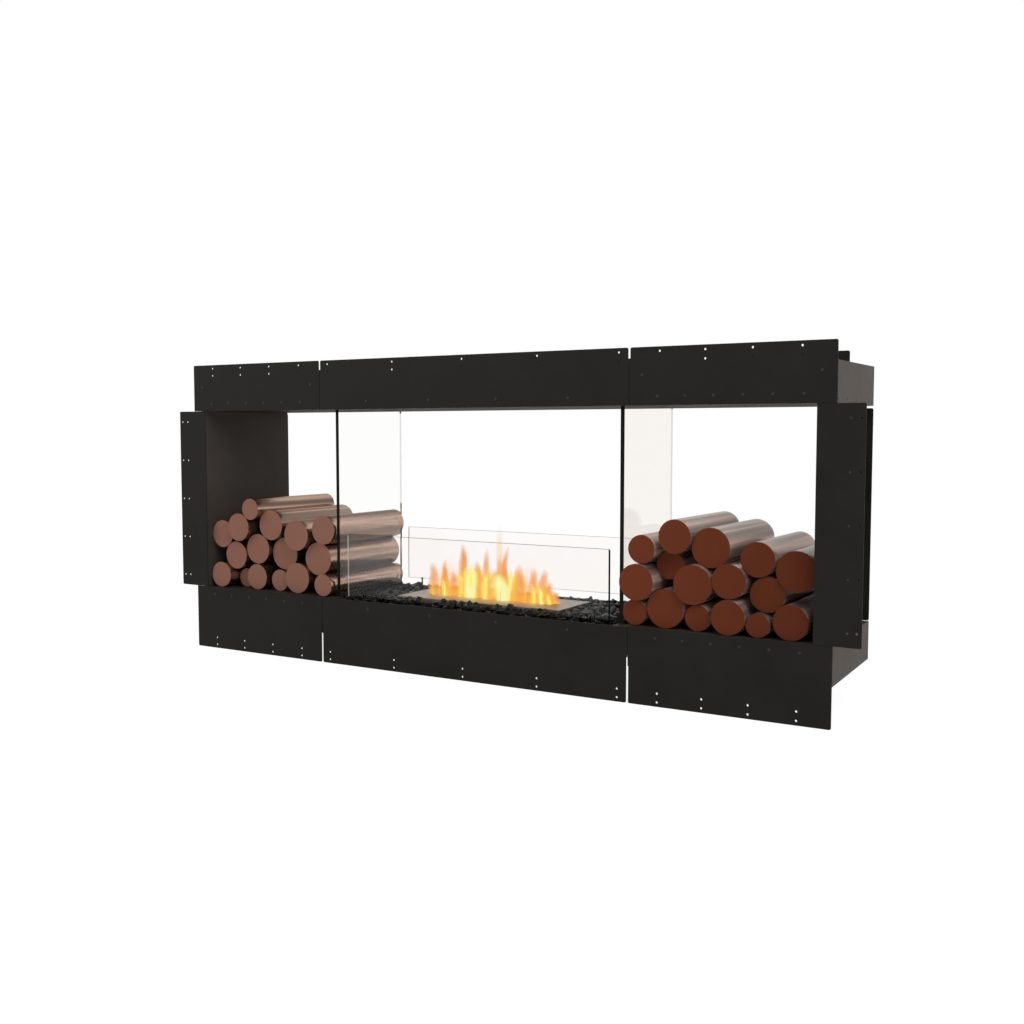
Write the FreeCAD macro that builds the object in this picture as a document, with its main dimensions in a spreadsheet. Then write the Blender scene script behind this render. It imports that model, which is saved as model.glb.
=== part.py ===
"""See-through bioethanol fireplace insert: a fire chamber between two log bays.

Three sheet-steel modules stand side by side. Each has a header box above the opening and a base
box below it, and flange plates frame the opening at the front and at the rear. The frame is
+X to the right, +Y to the rear and +Z up. The origin is on the ground, midway between the ends
and midway between the two faces. All sizes are in millimetres.
"""
import FreeCAD
import Part
import Sketcher
import math
import os
from types import SimpleNamespace

# Driving dimensions: name, size, meaning

SIZES = [
    ("depth", 345, "front face to rear face of the flange plates"),
    ("plate", 2, "thickness of the flange plates"),
    ("sheet", 2, "thickness of the folded boxes, walls and channels"),
    ("fit_gap", 0.3, "clearance between pieces that fit together"),
    ("mid_half", 450, "half width of the middle module"),
    ("side_wide", 465, "width of a side module's flange plates"),
    ("opening_low", 175, "ground to the lower edge of the opening"),
    ("opening_tall", 501, "height of the opening"),
    ("jamb", 41, "how far the upper and lower plates reach past the opening"),
    ("header_tall", 89, "height of the header boxes"),
    ("base_tall", 90, "height of the side base boxes"),
    ("tray_tall", 65, "height of the middle base box"),
    ("lip_wide", 14, "folded lips of the end walls and side headers"),
    ("cap_wide", 34, "how far an end cap stands out from the end wall"),
    ("cap_set", 20, "setback of an end cap behind the box front"),
    ("cap_rise", 7, "top of a base end cap above the opening's edge"),
    ("cap_slope", 9, "how much the floor of a base end cap rises to the rear"),
    ("top_flange_tall", 129, "height of the upper flange plates"),
    ("side_flange_wide", 100, "width of the front side flange plates"),
    ("side_flange_gap", 0.5, "gap above and below the front side plates"),
    ("joint_gap", 1.2, "gap between neighbouring front plates"),
    ("slot_step", 2.1, "how much a free plate edge steps back beside that gap"),
    ("top_slot", 26, "depth of the joint slots in the upper plates"),
    ("low_slot", 105, "depth of the joint slots in the lower plates"),
    ("corner", 4, "corner radius of the flange plates"),
    ("rear_inset", 66, "rear upper plates, inset from the module ends"),
    ("rear_low_inset", 100, "rear lower side plates, inset from the module ends"),
    ("rear_mid_tall", 90, "height of the rear lower middle plate"),
    ("rear_side_wide", 31, "width of the rear side plates"),
    ("rear_side_gap", 4.5, "gap above and below the rear side plates"),
    ("hole_dia", 5, "fixing holes in the flange plates"),
    ("hole_edge", 10, "first row of fixing holes, from the plate edge"),
    ("hole_row", 20, "distance between the two rows of fixing holes"),
    ("hole_set", 73.5, "outer fixing holes of a side module, from the plate ends"),
    ("mid_hole_set", 26, "outer fixing holes of the middle module, from the plate ends"),
    ("rear_hole_set", 60.5, "outer fixing holes of the rear plates, from the plate ends"),
    ("side_hole_set", 30.5, "outer fixing holes of the side plates, from the opening's edges"),
    ("screw_edge", 20, "screw rows, from the edge of the opening"),
    ("screw_set", 68.5, "outer screws of a side module, from the plate ends"),
    ("mid_screw_set", 155, "outer screws of the middle module, from the plate ends"),
    ("end_screw_set", 32, "end screws of the upper side plates, from the plate ends"),
    ("end_screw_drop", 22, "end screws, below the top of the header"),
    ("side_screw_set", 8, "screws of the rear side plates, from the opening's edge"),
    ("screw_dia", 4, "shank of the screws and rivets"),
    ("screw_head", 7, "head diameter of the screws and rivets"),
    ("screw_head_tall", 1, "head height of the screws and rivets"),
    ("rivet_edge", 9, "rivet row, from the lower edge of an end cap"),
    ("rivet_set", 12, "outer rivets, from the ends of an end cap"),
    ("bolt_dia", 8, "bolts that join the modules"),
    ("bolt_head", 13, "head and nut diameter of those bolts"),
    ("bolt_head_tall", 5, "head and nut height of those bolts"),
    ("bolt_apart", 200, "distance between the two bolts of a joint"),
    ("board_tall", 20, "heat board above the fire chamber"),
    ("board_gap", 15, "heat board to the header walls"),
    ("pane_thick", 10, "glass panes beside the fire chamber"),
    ("pane_in", 31, "middle of a pane, inside the module joint"),
    ("pane_set", 33.5, "front edge of a pane behind the front face"),
    ("channel_wall", 2.7, "sides of the pane channels"),
    ("channel_tall", 10, "height of the pane channels"),
    ("screen_in", 21, "end of a fire screen, inside the well"),
    ("screen_top", 171, "top edge of the fire screens above the opening's edge"),
    ("screen_thick", 6, "glass of the fire screens"),
    ("screen_set", 35, "middle of a screen, from the nearer face"),
    ("front_lift", 4, "lower edge of the front screen above the opening's edge"),
    ("rear_lift", 25, "lower edge of the rear screen above the opening's edge"),
    ("foot_in", 48, "screen feet, inside the ends of a screen"),
    ("foot_wide", 3, "width of a screen foot"),
    ("foot_prong", 1.2, "depth of a foot's two prongs"),
    ("foot_grip", 2.5, "how far a foot's prongs reach up the glass"),
    ("foot_seat", 1.5, "thickness of a foot under the glass"),
    ("deck_wide", 40, "deck on each side of the well in the middle base box"),
    ("shelf_drop", 18, "top of the stone shelf below the opening's edge"),
    ("ledge_wide", 20, "legs of the ledges that carry the stone shelf"),
    ("ledge_set", 10, "ledges, shorter than the well at each end"),
    ("bed_rise", 2, "top of the stone bed above the opening's edge"),
    ("bed_gap", 2, "stone bed and shelf to the burner's tank"),
    ("burner_shift", 20, "burner, left of the middle of the part"),
    ("burner_long", 492, "length of the burner's top plate"),
    ("burner_wide", 165, "width of the burner's top plate"),
    ("burner_plate", 3, "thickness of the burner's top plate"),
    ("burner_rise", 8, "top plate above the opening's edge"),
    ("tank_set", 8, "tank wall behind the edge of the top plate"),
    ("tank_wall", 2, "sheet of the fuel tank"),
    ("flame_set", 61, "ends of the flame slot, from the ends of the top plate"),
    ("shutter_room", 11.5, "room in the tank behind the open shutter"),
    ("shutter_thick", 2, "thickness of the shutter"),
    ("shutter_lap", 4, "how far the shutter laps the flame slot"),
    ("shutter_drop", 0.5, "shutter below the top plate"),
    ("rail_lap", 10, "how far a rail reaches under the shutter"),
    ("rail_leg", 16, "upright leg of a shutter rail"),
    ("tab_wide", 30, "width of the shutter's pull tab"),
    ("tab_rise", 12, "pull tab above the top plate"),
    ("tab_hole", 6, "hook hole in the pull tab"),
    ("tab_clear", 0.5, "pull tab to the edges of the flame slot"),
    ("wick_room", 15, "room between the wick block and the shutter rails"),
    ("wick_gap", 2, "wick block to the legs of the rails"),
    ("log_set", 7.5, "ends of the logs, behind the front and rear faces"),
    ("log_slim", 54, "diameter of the slimmest logs, grade 0"),
    ("log_grade", 6, "how much thicker the logs of each further grade are"),
    ("log_room", 1, "unit of the room beside a log of the lowest row"),
    ("log_step", 5, "step by which the front end of a log stands back"),
]

doc = FreeCAD.newDocument("FireplaceInsert")


class Formula:
    """A size that knows its value and the formula that gives it from the sheet."""

    def __init__(self, value, text):
        self.value = value
        self.text = text

    def joined(self, other, sign, value):
        return Formula(value, f"({self.text} {sign} {other.text})")

    def __add__(self, other):
        other = formula(other)
        return self.joined(other, "+", self.value + other.value)

    def __sub__(self, other):
        other = formula(other)
        return self.joined(other, "-", self.value - other.value)

    def __mul__(self, other):
        other = formula(other)
        return self.joined(other, "*", self.value * other.value)

    def __truediv__(self, other):
        other = formula(other)
        return self.joined(other, "/", self.value / other.value)

    def __neg__(self):
        return formula(0) - self


def formula(size):
    return size if isinstance(size, Formula) else Formula(float(size), repr(size))


def fill_sheet():
    """Write the driving dimensions into the sheet and return them as formulas."""
    sheet = doc.addObject("Spreadsheet::Sheet", "Sizes")
    sizes = SimpleNamespace()
    for row, (name, size, meaning) in enumerate(SIZES, start=1):
        sheet.set(f"A{row}", name)
        sheet.set(f"B{row}", str(size))
        sheet.set(f"C{row}", meaning)
        sheet.setAlias(f"B{row}", name)
        setattr(sizes, name, Formula(float(size), f"Sizes.{name}"))
    doc.recompute()
    return sizes


S = fill_sheet()
SIDES = (("left", -1), ("right", 1))
FACES = (("front", -1), ("rear", 1))
parts = []

# Places worked out from the driving dimensions

FRONT = -(S.depth / 2)
REAR = S.depth / 2
BOX_Y = (FRONT + S.plate, REAR - S.plate)
WELL_Y = (BOX_Y[0] + S.sheet, BOX_Y[1] - S.sheet)
CAP_Y = (BOX_Y[0] + S.cap_set, BOX_Y[1] - S.cap_set)
TOTAL_HALF = S.mid_half + S.side_wide
OPENING_HALF = TOTAL_HALF - S.jamb
WALL_OUT = OPENING_HALF + S.sheet
WELL_HALF = S.mid_half - S.deck_wide
PANE_AT = S.mid_half - S.pane_in
DECK = S.opening_low
CEILING = DECK + S.opening_tall
HEADER_Z = (CEILING, CEILING + S.header_tall)
BASE_Z = (DECK - S.base_tall, DECK)
TRAY_Z = (DECK - S.tray_tall, DECK)
SHELF_TOP = DECK - S.shelf_drop
MODULES = {
    "left": (-TOTAL_HALF, -S.mid_half),
    "middle": (-S.mid_half, S.mid_half),
    "right": (S.mid_half, TOTAL_HALF),
}
BOXES = {
    "left": (-WALL_OUT, -S.mid_half),
    "middle": (-S.mid_half, S.mid_half),
    "right": (S.mid_half, WALL_OUT),
}


def sided(side, low, high):
    """A span along X on the right, or its mirror image on the left."""
    return (low, high) if side > 0 else (-high, -low)


def faced(face, low, high):
    """A span along Y counted from the front face, or from the rear face."""
    return (FRONT + low, FRONT + high) if face < 0 else (REAR - high, REAR - low)


def bind(item, **sizes):
    for name, size in sizes.items():
        item.setExpression(name, formula(size).text)


def place(item, x, y, z):
    for axis, size in zip("xyz", (x, y, z)):
        item.setExpression(f"Placement.Base.{axis}", formula(size).text)


def add(kind, name):
    return doc.addObject(kind, name)


def block(name, x, y, z):
    """A box from three spans."""
    item = add("Part::Box", name)
    bind(item, Length=x[1] - x[0], Width=y[1] - y[0], Height=z[1] - z[0])
    place(item, x[0], y[0], z[0])
    return item


def rod(name, direction, start, length, diameter):
    """A cylinder along one axis that starts at a point."""
    item = add("Part::Cylinder", name)
    bind(item, Radius=formula(diameter) / 2, Height=length)
    turns = {"x": ((0, 1, 0), 90), "y": ((1, 0, 0), -90), "z": ((0, 0, 1), 0)}
    axis, angle = turns[direction]
    item.Placement.Rotation = FreeCAD.Rotation(FreeCAD.Vector(*axis), angle)
    place(item, *start)
    return item


def tilted_block(name, x, y, z, rise):
    """A box whose floor rises towards the rear."""
    item = add("Part::Wedge", name)
    bind(item, Xmin=x[0], Xmax=x[1], X2min=x[0], X2max=x[1], Ymin=y[0], Ymax=y[1],
         Zmin=z[0], Zmax=z[1], Z2min=z[0] + rise, Z2max=z[1])
    return item


def group(name, items):
    """Separate solids that share one object."""
    item = add("Part::Compound", name)
    item.Links = items
    return item


def joined(name, items):
    item = add("Part::MultiFuse", name)
    item.Shapes = items
    return item


def cut(name, base, tools):
    item = add("Part::Cut", name)
    item.Base = base
    item.Tool = tools[0] if len(tools) == 1 else group(f"{name}_tools", tools)
    return item


def keep(item, label):
    """Take an object as a finished piece under its own label."""
    item.Label = label
    parts.append(item)
    return item


def inside(span, wall):
    return (span[0] + wall, span[1] - wall)


def spread(span, count):
    """Places evenly spaced from one end of a span to the other."""
    pitch = (span[1] - span[0]) / (count - 1)
    return [span[0] + pitch * step for step in range(count)]


def centred(centre, length):
    return (centre - length / 2, centre + length / 2)


# Flange plates: a padded outline with rounded corners and punched holes

def plane(body, role):
    return next(item for item in body.Origin.OriginFeatures if item.Role == role)


def sketch(body, name):
    item = body.newObject("Sketcher::SketchObject", name)
    item.AttachmentSupport = (plane(body, "XZ_Plane"), [""])
    item.MapMode = "FlatFace"
    return item


def fix_point(item, geometry, point, x, z):
    for kind, size in (("DistanceX", x), ("DistanceY", z)):
        index = item.addConstraint(Sketcher.Constraint(kind, -1, 1, geometry, point, size.value))
        item.setExpression(f"Constraints[{index}]", size.text)


def draw_outline(item, points):
    corners = [FreeCAD.Vector(x.value, z.value, 0) for x, z in points]
    for index, corner in enumerate(corners):
        item.addGeometry(Part.LineSegment(corner, corners[(index + 1) % len(corners)]))
    for index, (x, z) in enumerate(points):
        before = (index - 1) % len(points)
        item.addConstraint(Sketcher.Constraint("Coincident", before, 2, index, 1))
        fix_point(item, index, 1, x, z)


def draw_circles(item, circles):
    for index, (x, z, diameter) in enumerate(circles):
        centre = FreeCAD.Vector(x.value, z.value, 0)
        item.addGeometry(Part.Circle(centre, FreeCAD.Vector(0, 0, 1), diameter.value / 2))
        fix_point(item, index, 3, x, z)
        radius = item.addConstraint(Sketcher.Constraint("Radius", index, diameter.value / 2))
        item.setExpression(f"Constraints[{radius}]", (diameter / 2).text)


def upright_edges(shape, corners):
    """Names of the edges through the plate's thickness at the given corners."""
    names = []
    for index, edge in enumerate(shape.Edges, start=1):
        middle = edge.CenterOfMass
        for x, z in corners:
            if math.hypot(middle.x - x.value, middle.z - z.value) < 0.01:
                names.append(f"Edge{index}")
    return names


def flange(label, outline, rounded, holes, face):
    """A flange plate on the front face (-1) or the rear face (1)."""
    body = add("PartDesign::Body", f"{label}_body")
    profile = sketch(body, f"{label}_outline")
    draw_outline(profile, outline)
    pad = body.newObject("PartDesign::Pad", f"{label}_pad")
    pad.Profile = profile
    pad.Reversed = True
    bind(pad, Length=S.plate)
    doc.recompute()
    fillet = body.newObject("PartDesign::Fillet", f"{label}_corners")
    fillet.Base = (pad, upright_edges(pad.Shape, rounded))
    bind(fillet, Radius=S.corner)
    doc.recompute()
    punched = sketch(body, f"{label}_holes")
    draw_circles(punched, holes)
    pocket = body.newObject("PartDesign::Pocket", f"{label}_pocket")
    pocket.Profile = punched
    pocket.Type = "ThroughAll"
    doc.recompute()
    if pocket.Shape.Volume >= fillet.Shape.Volume:
        raise RuntimeError(f"{label}: the holes cut nothing")
    place(body, 0, FRONT if face < 0 else REAR - S.plate, 0)
    return keep(body, label)


def rectangle(x, z):
    return [(x[0], z[0]), (x[1], z[0]), (x[1], z[1]), (x[0], z[1])]


def slotted(x, fixed, free, slot, joints):
    """A plate from its fixed edge to its free one, which steps back where a neighbour joins it."""
    step = free - slot
    low, high = x
    points = [(low, fixed), (high, fixed)]
    if joints[1]:
        points += [(high, step), (high - S.slot_step, step)]
        high = high - S.slot_step
    points.append((high, free))
    if joints[0]:
        low = low + S.slot_step
        points += [(low, free), (low, step), (x[0], step)]
    else:
        points.append((low, free))
    return points


def on_edge(outline, edge):
    """The corners of an outline at the height of one edge."""
    return [(x, z) for x, z in outline if z is edge]


def hole_grid(columns, rows, diameter):
    return [(x, z, diameter) for x in columns for z in rows]


def middle_of(span):
    return (span[0] + span[1]) / 2


TOP_Z = (CEILING, CEILING + S.top_flange_tall)
LOW_Z = (formula(0), DECK)
TOP_ROWS = [TOP_Z[1] - S.hole_edge, TOP_Z[1] - S.hole_edge - S.hole_row]
LOW_ROWS = [LOW_Z[0] + S.hole_edge, LOW_Z[0] + S.hole_edge + S.hole_row]
SCREW_TOP = CEILING + S.screw_edge
SCREW_LOW = DECK - S.screw_edge
PASS_DIA = S.screw_dia + S.fit_gap


# Which ends of a module's front plates meet a neighbour
JOINTS = {"left": (False, True), "middle": (True, True), "right": (True, False)}


def front_outline(module, fixed, free, slot):
    """A front plate, clear of its neighbours."""
    low, high = MODULES[module]
    joints = JOINTS[module]
    clear = S.joint_gap / 2
    span = (low + clear if joints[0] else low, high - clear if joints[1] else high)
    return slotted(span, fixed, free, slot, joints)


def upper_span(module, face):
    """Ends of an upper flange plate."""
    return MODULES[module] if face < 0 else inside(MODULES[module], S.rear_inset)


def lower_span(module, face):
    """Ends of a lower flange plate."""
    if face > 0 and module != "middle":
        return inside(MODULES[module], S.rear_low_inset)
    return upper_span(module, face)


def hole_columns(module, face, span):
    """Fixing holes along a plate: the shorter rear plates hold fewer."""
    if face > 0:
        return spread(inside(span, S.rear_hole_set), 3)
    if module == "middle":
        return spread(inside(span, S.mid_hole_set), 5)
    return spread(inside(span, S.hole_set), 4)


def screw_columns(module, face, span):
    if module == "middle":
        return spread(inside(span, S.mid_screw_set), 4)
    return spread(inside(span, S.screw_set), 6 if face < 0 else 3)


def header_screws(module, face):
    """Screw places (x, z) that hold an upper plate on its header box."""
    span = upper_span(module, face)
    places = [(x, SCREW_TOP) for x in screw_columns(module, face, span)]
    if module != "middle" and face < 0:
        high = HEADER_Z[1] - S.end_screw_drop
        places += [(x, high) for x in inside(span, S.end_screw_set)]
    return places


def base_screws(module, face):
    """Screw places that hold a lower plate on its base box."""
    return [(x, SCREW_LOW) for x in screw_columns(module, face, lower_span(module, face))]


def screw_holes(places):
    return [(x, z, PASS_DIA) for x, z in places]


def make_flanges():
    for module in MODULES:
        for name, face in FACES:
            make_upper_plate(module, name, face)
            make_lower_plate(module, name, face)
    for name, side in SIDES:
        make_side_plate(name, side, "front", -1, S.side_flange_wide, S.side_flange_gap)
        make_side_plate(name, side, "rear", 1, S.rear_side_wide, S.rear_side_gap)


def make_upper_plate(module, name, face):
    span = upper_span(module, face)
    holes = hole_grid(hole_columns(module, face, span), TOP_ROWS, S.hole_dia)
    holes += screw_holes(header_screws(module, face))
    label = f"{name}_top_flange_{module}"
    if face < 0:
        outline = front_outline(module, *TOP_Z, S.top_slot)
    else:
        outline = rectangle(span, TOP_Z)
    flange(label, outline, on_edge(outline, TOP_Z[1]), holes, face)


def make_lower_plate(module, name, face):
    span = lower_span(module, face)
    holes = screw_holes(base_screws(module, face))
    label = f"{name}_bottom_flange_{module}"
    z = LOW_Z
    if face > 0 and module == "middle":
        z = (DECK - S.rear_mid_tall, DECK)
    else:
        holes += hole_grid(hole_columns(module, face, span), LOW_ROWS, S.hole_dia)
    if face < 0:
        outline = front_outline(module, z[1], z[0], -S.low_slot)
    else:
        outline = rectangle(span, z)
    flange(label, outline, on_edge(outline, z[0]), holes, face)


def side_rows(count):
    return spread(inside((DECK, CEILING), S.side_hole_set), count)


def side_screws(side):
    """Screw places that hold a rear side plate on the lip of the end wall."""
    return [((OPENING_HALF + S.side_screw_set) * side, z) for z in side_rows(3)]


def make_side_plate(side_name, side, name, face, width, gap):
    """A side plate: fixing holes in the front ones, screws in the rear ones."""
    x = sided(side, OPENING_HALF, OPENING_HALF + width)
    z = inside((DECK, CEILING), gap)
    outer = x[1] if side > 0 else x[0]
    first = outer - S.hole_edge * side
    if face < 0:
        holes = hole_grid([first, first - S.hole_row * side], side_rows(5), S.hole_dia)
    else:
        holes = screw_holes(side_screws(side))
    rounded = [(outer, z[0]), (outer, z[1])]
    flange(f"{name}_side_flange_{side_name}", rectangle(x, z), rounded, holes, face)


# Screws, rivets and bolts

def screw(name, x, z, face):
    """A screw through a flange plate and the box wall behind it."""
    reach = S.plate + S.sheet
    head = faced(face, -S.screw_head_tall, formula(0))
    shank = faced(face, formula(0), reach)
    return joined(name, [
        rod(f"{name}_head", "y", (x, head[0], z), S.screw_head_tall, S.screw_head),
        rod(f"{name}_shank", "y", (x, shank[0], z), reach, S.screw_dia),
    ])


def screw_places(face):
    places = []
    for module in MODULES:
        places += header_screws(module, face) + base_screws(module, face)
    if face > 0:
        places += [place_on_lip for _, side in SIDES for place_on_lip in side_screws(side)]
    return places


def make_screws():
    for name, face in FACES:
        screws = [screw(f"{name}_screw_{index}", x, z, face)
                  for index, (x, z) in enumerate(screw_places(face))]
        keep(group(f"{name}_screws", screws), f"{name}_flange_screws")


def screw_bores(name, places, face):
    """Holes for the screws in the wall of a box."""
    wall = faced(face, S.plate, S.plate + S.sheet)
    return [rod(f"{name}_bore_{index}", "y", (x, wall[0], z), S.sheet, PASS_DIA)
            for index, (x, z) in enumerate(places)]


BOLT_PLACES = [(y, z) for y in centred(formula(0), S.bolt_apart)
               for z in (middle_of(HEADER_Z), middle_of(TRAY_Z))]


def bolt_bores(name, x):
    """Holes for the joint bolts through the two walls that meet at a joint."""
    return [rod(f"{name}_{index}", "x", (x - S.sheet, y, z), S.sheet * 2, S.bolt_dia + S.fit_gap)
            for index, (y, z) in enumerate(BOLT_PLACES)]


def joint_bolt(name, x, y, z):
    """A bolt through both walls, with its head on one side and its nut on the other."""
    reach = S.sheet + S.bolt_head_tall
    return joined(name, [
        rod(f"{name}_shank", "x", (x - reach, y, z), reach * 2, S.bolt_dia),
        rod(f"{name}_head", "x", (x - reach, y, z), S.bolt_head_tall, S.bolt_head),
        rod(f"{name}_nut", "x", (x + S.sheet, y, z), S.bolt_head_tall, S.bolt_head),
    ])


def make_bolts():
    bolts = [joint_bolt(f"bolt_{name}_{index}", S.mid_half * side, y, z)
             for name, side in SIDES for index, (y, z) in enumerate(BOLT_PLACES)]
    keep(group("bolts", bolts), "module_bolts")


# Header and base boxes, end caps and end walls

PANE_Y = inside((FRONT, REAR), S.pane_set)
CHANNEL_HALF = S.pane_thick / 2 + S.fit_gap + S.channel_wall


def channel_span(side):
    """Outer width of a pane channel."""
    return sided(side, *centred(PANE_AT, CHANNEL_HALF * 2))


def box_tools(name, module, places):
    """Screw holes and joint holes of one header or base box."""
    tools = []
    for face_name, face in FACES:
        tools += screw_bores(f"{name}_{face_name}", places(module, face), face)
    for side_name, side in SIDES:
        if module in ("middle", side_name):
            tools += bolt_bores(f"{name}_joint_{side_name}", S.mid_half * side)
    return tools


def closed_box(name, x, y, z, tools, lips=()):
    """A hollow box of sheet steel, with any lips that stand out from it."""
    solid = block(f"{name}_block", x, y, z)
    if lips:
        solid = joined(f"{name}_lipped", [solid, *lips])
    hollow = block(f"{name}_hollow", *(inside(span, S.sheet) for span in (x, y, z)))
    return cut(f"{name}_box", solid, [hollow] + tools)


def make_headers():
    """Header boxes: those at the sides have a lip that carries the end of the front plate."""
    sides = dict(SIDES)
    for module, x in BOXES.items():
        name = f"header_{module}"
        lips = []
        if module in sides:
            lips.append(block(f"{name}_lip", sided(sides[module], WALL_OUT, WALL_OUT + S.lip_wide),
                              faced(-1, S.plate, S.plate + S.sheet), HEADER_Z))
        tools = box_tools(name, module, header_screws)
        if module == "middle":
            tools += [block(f"{name}_slot_{side_name}", channel_span(side), PANE_Y,
                            (CEILING, CEILING + S.sheet)) for side_name, side in SIDES]
        keep(closed_box(name, x, BOX_Y, HEADER_Z, tools, lips), name)
    board_half = PANE_AT - CHANNEL_HALF - S.board_gap
    board = block("board", (-board_half, board_half), inside(WELL_Y, S.board_gap),
                  (CEILING + S.sheet, CEILING + S.sheet + S.board_tall))
    keep(board, "header_heat_board")


def make_bases():
    for name, side in SIDES:
        label = f"base_{name}"
        tools = box_tools(label, name, base_screws)
        keep(closed_box(label, BOXES[name], BOX_Y, BASE_Z, tools), label)
    make_tray()


def make_tray():
    """The middle base box: an open well, and a deck on each side for the panes to stand on."""
    x = BOXES["middle"]
    well = block("tray_well", (-WELL_HALF, WELL_HALF), WELL_Y, (TRAY_Z[0] + S.sheet, DECK))
    hollows = [block(f"tray_hollow_{name}",
                     sided(side, WELL_HALF + S.sheet, S.mid_half - S.sheet),
                     WELL_Y, (TRAY_Z[0], DECK - S.sheet)) for name, side in SIDES]
    tools = [well] + hollows + box_tools("base_middle", "middle", base_screws)
    keep(cut("tray", block("tray_block", x, BOX_Y, TRAY_Z), tools), "base_middle")


def rivet_places(floor, rise):
    """Rivets along the lower edge of an end cap."""
    long = CAP_Y[1] - CAP_Y[0]
    return [(y, floor + S.rivet_edge + rise * ((y - CAP_Y[0]) / long))
            for y in spread(inside(CAP_Y, S.rivet_set), 5)]


def rivet(name, side, y, z):
    """A rivet through the outer wall of an end cap."""
    face = WALL_OUT + S.cap_wide
    head = sided(side, face, face + S.screw_head_tall)
    shank = sided(side, face - S.sheet, face)
    return joined(name, [
        rod(f"{name}_head", "x", (head[0], y, z), S.screw_head_tall, S.screw_head),
        rod(f"{name}_shank", "x", (shank[0], y, z), S.sheet, S.screw_dia),
    ])


def make_caps():
    """Caps over the ends of the headers and bases: the floor of those on the bases slopes."""
    rivets = []
    levels = (("header", HEADER_Z, formula(0)),
              ("base", (BASE_Z[0], DECK + S.cap_rise), S.cap_slope))
    for name, side in SIDES:
        x = sided(side, WALL_OUT, WALL_OUT + S.cap_wide)
        wall = sided(side, WALL_OUT + S.cap_wide - S.sheet, WALL_OUT + S.cap_wide)
        for level, z, rise in levels:
            label = f"{level}_end_cap_{name}"
            places = rivet_places(z[0], rise)
            bores = [rod(f"{label}_bore_{index}", "x", (wall[0], y, height), S.sheet, PASS_DIA)
                     for index, (y, height) in enumerate(places)]
            solid = tilted_block(f"{label}_block", x, CAP_Y, z, rise)
            hollow = tilted_block(f"{label}_hollow", *(inside(span, S.sheet) for span in (x, CAP_Y, z)),
                                  rise)
            keep(cut(f"{label}_box", solid, [hollow] + bores), label)
            rivets += [rivet(f"{label}_rivet_{index}", side, y, height)
                       for index, (y, height) in enumerate(places)]
    keep(group("rivets", rivets), "end_cap_rivets")


def make_end_walls():
    """The walls that close the log bays, with lips that carry the side plates."""
    for name, side in SIDES:
        web = block(f"wall_web_{name}", sided(side, OPENING_HALF, WALL_OUT), BOX_Y,
                    (DECK, CEILING))
        lips = [block(f"wall_lip_{name}_{face_name}",
                      sided(side, OPENING_HALF, WALL_OUT + S.lip_wide),
                      faced(face, S.plate, S.plate + S.sheet), (DECK, CEILING))
                for face_name, face in FACES]
        wall = joined(f"wall_{name}_folded", [web] + lips)
        bores = screw_bores(f"wall_{name}", side_screws(side), 1)
        keep(cut(f"wall_{name}", wall, bores), f"end_wall_{name}")


# Glass panes and fire screens

def make_panes():
    """Panes that stand in a channel on the deck and reach into one let into the ceiling."""
    channels = []
    low_z = (DECK, DECK + S.channel_tall)
    top_z = (CEILING, CEILING + S.channel_tall)
    glass_z = (low_z[0] + S.sheet, top_z[1] - S.sheet)
    for name, side in SIDES:
        x = sided(side, *centred(PANE_AT, S.pane_thick))
        keep(block(f"pane_{name}", x, PANE_Y, glass_z), f"glass_pane_{name}")
        slot = inside(x, -S.fit_gap)
        for level, z in (("low", low_z), ("top", top_z)):
            solid = block(f"channel_{level}_{name}", channel_span(side), PANE_Y, z)
            room = block(f"channel_{level}_slot_{name}", slot, PANE_Y, glass_z)
            channels.append(cut(f"channel_{level}_cut_{name}", solid, [room]))
    keep(group("channels", channels), "pane_channels")


SCREEN_LOW = {"front": DECK + S.front_lift, "rear": DECK + S.rear_lift}
SCREEN_HALF = WELL_HALF - S.screen_in
SLOT_HALF = S.screen_thick / 2 + S.fit_gap


def foot_places():
    """Face, its sign and place along X of each foot."""
    return [(name, face, (SCREEN_HALF - S.foot_in) * side) for name, face in FACES for _, side in SIDES]


def foot_spans(x, face, gap):
    """Plan of a screen foot, with room around it."""
    deep = (SLOT_HALF + S.foot_prong + gap) * 2
    return centred(x, S.foot_wide + gap * 2), faced(face, *centred(S.screen_set, deep))


def make_foot(label, x, face, low):
    """A slim post that carries a saddle for the glass to stand in."""
    wide, deep = foot_spans(x, face, formula(0))
    seat, grip = low - S.foot_seat, low + S.foot_grip
    post = block(f"{label}_post", wide, faced(face, *centred(S.screen_set, S.foot_wide)),
                 (SHELF_TOP, seat))
    saddle = block(f"{label}_saddle", wide, deep, (seat, grip))
    slot = block(f"{label}_slot", wide, faced(face, *centred(S.screen_set, SLOT_HALF * 2)), (low, grip))
    return joined(label, [post, cut(f"{label}_cut", saddle, [slot])])


def make_screens():
    for name, face in FACES:
        y = faced(face, *centred(S.screen_set, S.screen_thick))
        glass = block(f"screen_{name}", (-SCREEN_HALF, SCREEN_HALF), y,
                      (SCREEN_LOW[name], DECK + S.screen_top))
        keep(glass, f"{name}_fire_screen")
    feet = [make_foot(f"foot_{index}", x, face, SCREEN_LOW[name])
            for index, (name, face, x) in enumerate(foot_places())]
    keep(group("feet", feet), "screen_feet")


# Burner

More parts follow.
